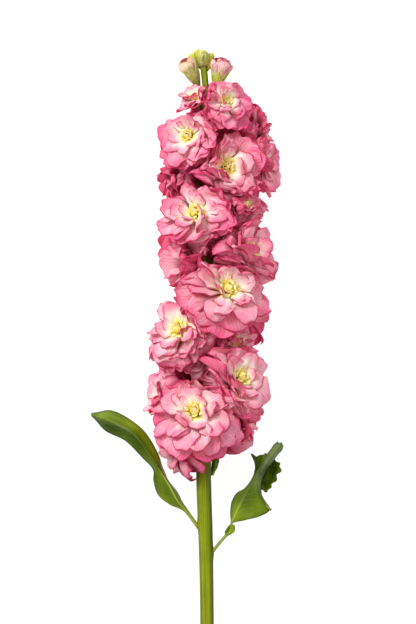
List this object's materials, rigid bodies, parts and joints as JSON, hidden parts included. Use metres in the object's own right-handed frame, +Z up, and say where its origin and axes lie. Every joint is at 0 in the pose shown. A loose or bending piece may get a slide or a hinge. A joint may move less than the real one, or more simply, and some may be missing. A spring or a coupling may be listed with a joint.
{
  "type": "stock flower stem",
  "caption": "Cut stem of double stock lying on its back: a dense spike of ruffled pink florets, unopened buds at the tip and wavy green leaves near the cut end.",
  "frame": {"origin": "middle of the base of the whole lying part, on the surface that it rests on", "axes": "+Z up out of the surface, towards the side of the spike that faces the viewer; +Y along the stem from the cut end to the buds"},
  "size_m": [0.1172, 0.395, 0.068],
  "materials": {
    "stem": "fresh green stem skin, satin, faintly ridged",
    "leaf": "waxy green leaf blade with a pale midrib, satin",
    "petal": "soft pink petal with a cream base and a deeper edge, velvety matte",
    "tuft": "pale yellow and cream small petals, matte",
    "bud": "furled peach and pink petals, soft matte"
  },
  "bodies": {
    "root": {"stem": "stem", "floret_01": "petal", "floret_02": "petal", "floret_03": "petal", "floret_04": "petal", "floret_05": "petal", "floret_06": "petal", "floret_07": "petal", "floret_08": "petal", "floret_09": "petal", "floret_10": "petal", "floret_11": "petal", "floret_12": "petal", "floret_13": "petal", "floret_14": "petal", "floret_15": "petal", "floret_16": "petal", "floret_17": "petal", "floret_18": "petal", "floret_19": "petal", "floret_20": "petal", "floret_21": "petal", "floret_22": "petal", "floret_23": "petal", "floret_24": "petal", "floret_25": "petal", "floret_26": "petal", "floret_27": "petal", "centre_01": "tuft", "centre_02": "tuft", "centre_03": "tuft", "centre_04": "tuft", "centre_05": "tuft", "centre_06": "tuft", "centre_07": "tuft", "centre_08": "tuft", "centre_09": "tuft", "centre_10": "tuft", "centre_11": "tuft", "centre_12": "tuft", "centre_13": "tuft", "centre_14": "tuft", "centre_15": "tuft", "centre_16": "tuft", "centre_17": "tuft", "centre_18": "tuft", "centre_19": "tuft", "centre_20": "tuft", "centre_21": "tuft", "centre_22": "tuft", "centre_23": "tuft", "centre_24": "tuft", "centre_25": "tuft", "centre_26": "tuft", "centre_27": "tuft", "leaf_left": "leaf", "leaf_right": "leaf", "leaf_small": "leaf", "bud_left": "bud", "bud_right": "bud"}
  },
  "joints": []
}
